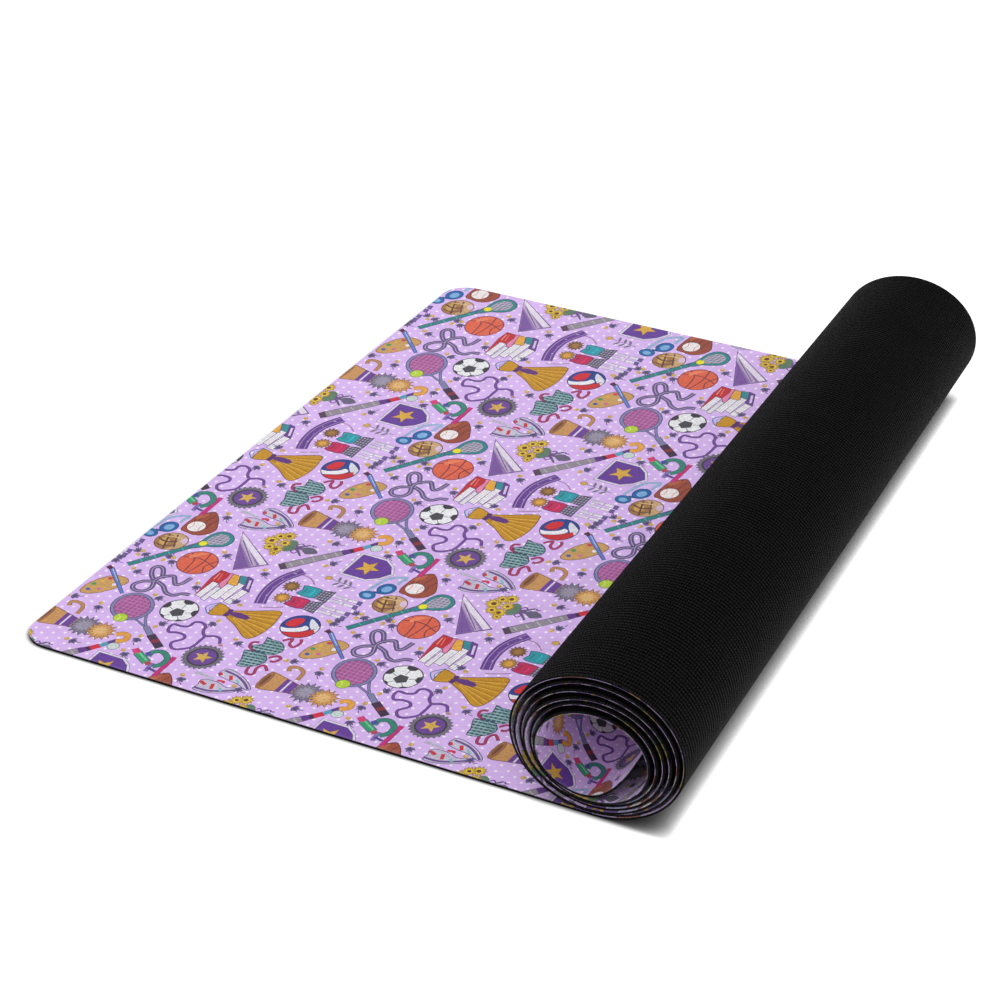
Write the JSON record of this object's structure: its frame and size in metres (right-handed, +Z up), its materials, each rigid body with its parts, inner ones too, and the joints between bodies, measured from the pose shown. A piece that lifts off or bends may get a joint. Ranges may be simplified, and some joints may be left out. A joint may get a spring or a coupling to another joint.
{
  "type": "exercise mat",
  "caption": "Half-rolled exercise mat: thin black rubber base bonded to a printed suede face, flat part with rounded corners and a loose roll of six turns whose inner end stands off.",
  "frame": {"origin": "on the floor at the centre of the outline box, underside at z = 0", "axes": "+Z up, X along the mat's length with the roll at +X and the free flat end at -X, Y across the width (the roll's axis)"},
  "size_m": [0.426, 0.61, 0.0882],
  "materials": {
    "rubber": "matte, fine ribbed weave pattern",
    "suede": "printed microsuede"
  },
  "bodies": {
    "flat_sheet": {"flat_rubber_base": "rubber", "flat_suede_face": "suede"},
    "curl_01": {"curl_rubber_01": "rubber", "curl_suede_01": "suede"},
    "curl_02": {"curl_rubber_02": "rubber", "curl_suede_02": "suede"},
    "curl_03": {"curl_rubber_03": "rubber", "curl_suede_03": "suede"},
    "curl_04": {"curl_rubber_04": "rubber", "curl_suede_04": "suede"},
    "curl_05": {"curl_rubber_05": "rubber", "curl_suede_05": "suede"},
    "free_end": {"free_end_rubber": "rubber", "free_end_suede": "suede"},
    "turn_01": {"turn_rubber_01": "rubber", "turn_suede_01": "suede"},
    "turn_02": {"turn_rubber_02": "rubber", "turn_suede_02": "suede"},
    "turn_03": {"turn_rubber_03": "rubber", "turn_suede_03": "suede"},
    "turn_04": {"turn_rubber_04": "rubber", "turn_suede_04": "suede"},
    "turn_05": {"turn_rubber_05": "rubber", "turn_suede_05": "suede"},
    "turn_06": {"turn_rubber_06": "rubber", "turn_suede_06": "suede"},
    "turn_07": {"turn_rubber_07": "rubber", "turn_suede_07": "suede"},
    "turn_08": {"turn_rubber_08": "rubber", "turn_suede_08": "suede"},
    "turn_09": {"turn_rubber_09": "rubber", "turn_suede_09": "suede"},
    "turn_10": {"turn_rubber_10": "rubber", "turn_suede_10": "suede"},
    "coil": {"coil_rubber_base": "rubber", "coil_suede_face": "suede"},
    "inner_end": {"inner_end_rubber": "rubber", "inner_end_suede": "suede"}
  },
  "joints": [
    {"name": "unroll", "type": "hinge", "parent": "flat_sheet", "child": "turn_01", "pos_m": [0.16109, 0, 0], "axis": [0, 1, 0], "range_deg": [0, 16.5]},
    {"name": "unroll_02", "type": "hinge", "parent": "turn_01", "child": "turn_02", "pos_m": [0.19249, 0, 0.00907], "axis": [0, 1, 0], "range_deg": [0, 33]},
    {"name": "unroll_03", "type": "hinge", "parent": "turn_02", "child": "turn_03", "pos_m": [0.20963, 0, 0.02865], "axis": [0, 1, 0], "range_deg": [0, 33]},
    {"name": "unroll_04", "type": "hinge", "parent": "turn_03", "child": "turn_04", "pos_m": [0.21255, 0, 0.05027], "axis": [0, 1, 0], "range_deg": [0, 33]},
    {"name": "unroll_05", "type": "hinge", "parent": "turn_04", "child": "turn_05", "pos_m": [0.20235, 0, 0.07117], "axis": [0, 1, 0], "range_deg": [0, 33]},
    {"name": "unroll_06", "type": "hinge", "parent": "turn_05", "child": "turn_06", "pos_m": [0.17706, 0, 0.08626], "axis": [0, 1, 0], "range_deg": [0, 33]},
    {"name": "unroll_07", "type": "hinge", "parent": "turn_06", "child": "turn_07", "pos_m": [0.14348, 0, 0.0854], "axis": [0, 1, 0], "range_deg": [0, 33]},
    {"name": "unroll_08", "type": "hinge", "parent": "turn_07", "child": "turn_08", "pos_m": [0.11954, 0, 0.06938], "axis": [0, 1, 0], "range_deg": [0, 33]},
    {"name": "unroll_09", "type": "hinge", "parent": "turn_08", "child": "turn_09", "pos_m": [0.11067, 0, 0.04849], "axis": [0, 1, 0], "range_deg": [0, 33]},
    {"name": "unroll_10", "type": "hinge", "parent": "turn_09", "child": "turn_10", "pos_m": [0.11467, 0, 0.02738], "axis": [0, 1, 0], "range_deg": [0, 33]},
    {"name": "unroll_11", "type": "hinge", "parent": "turn_10", "child": "coil", "pos_m": [0.13254, 0, 0.00899], "axis": [0, 1, 0], "range_deg": [0, 16.5]},
    {"name": "lift_end", "type": "hinge", "parent": "flat_sheet", "child": "curl_01", "pos_m": [-0.07702, 0, 0.0016], "axis": [0, 1, 0], "range_deg": [0, 20]},
    {"name": "lift_end_02", "type": "hinge", "parent": "curl_01", "child": "curl_02", "pos_m": [-0.09102, 0, 0.0016], "axis": [0, 1, 0], "range_deg": [0, 20]},
    {"name": "lift_end_03", "type": "hinge", "parent": "curl_02", "child": "curl_03", "pos_m": [-0.10502, 0, 0.0016], "axis": [0, 1, 0], "range_deg": [0, 20]},
    {"name": "lift_end_04", "type": "hinge", "parent": "curl_03", "child": "curl_04", "pos_m": [-0.11902, 0, 0.0016], "axis": [0, 1, 0], "range_deg": [0, 20]},
    {"name": "lift_end_05", "type": "hinge", "parent": "curl_04", "child": "curl_05", "pos_m": [-0.13302, 0, 0.0016], "axis": [0, 1, 0], "range_deg": [0, 20]},
    {"name": "lift_end_06", "type": "hinge", "parent": "curl_05", "child": "free_end", "pos_m": [-0.14702, 0, 0.0016], "axis": [0, 1, 0], "range_deg": [0, 20]},
    {"name": "bend_inner_end", "type": "hinge", "parent": "coil", "child": "inner_end", "pos_m": [0.15359, 0, 0.01244], "axis": [0, -1, 0], "range_deg": [0, 30]}
  ],
  "couplings": [
    {"joint": "unroll_02", "follows": "unroll", "ratio": 2},
    {"joint": "unroll_03", "follows": "unroll", "ratio": 2},
    {"joint": "unroll_04", "follows": "unroll", "ratio": 2},
    {"joint": "unroll_05", "follows": "unroll", "ratio": 2},
    {"joint": "unroll_06", "follows": "unroll", "ratio": 2},
    {"joint": "unroll_07", "follows": "unroll", "ratio": 2},
    {"joint": "unroll_08", "follows": "unroll", "ratio": 2},
    {"joint": "unroll_09", "follows": "unroll", "ratio": 2},
    {"joint": "unroll_10", "follows": "unroll", "ratio": 2},
    {"joint": "unroll_11", "follows": "unroll", "ratio": 1},
    {"joint": "lift_end_02", "follows": "lift_end", "ratio": 1},
    {"joint": "lift_end_03", "follows": "lift_end", "ratio": 1},
    {"joint": "lift_end_04", "follows": "lift_end", "ratio": 1},
    {"joint": "lift_end_05", "follows": "lift_end", "ratio": 1},
    {"joint": "lift_end_06", "follows": "lift_end", "ratio": 1}
  ]
}
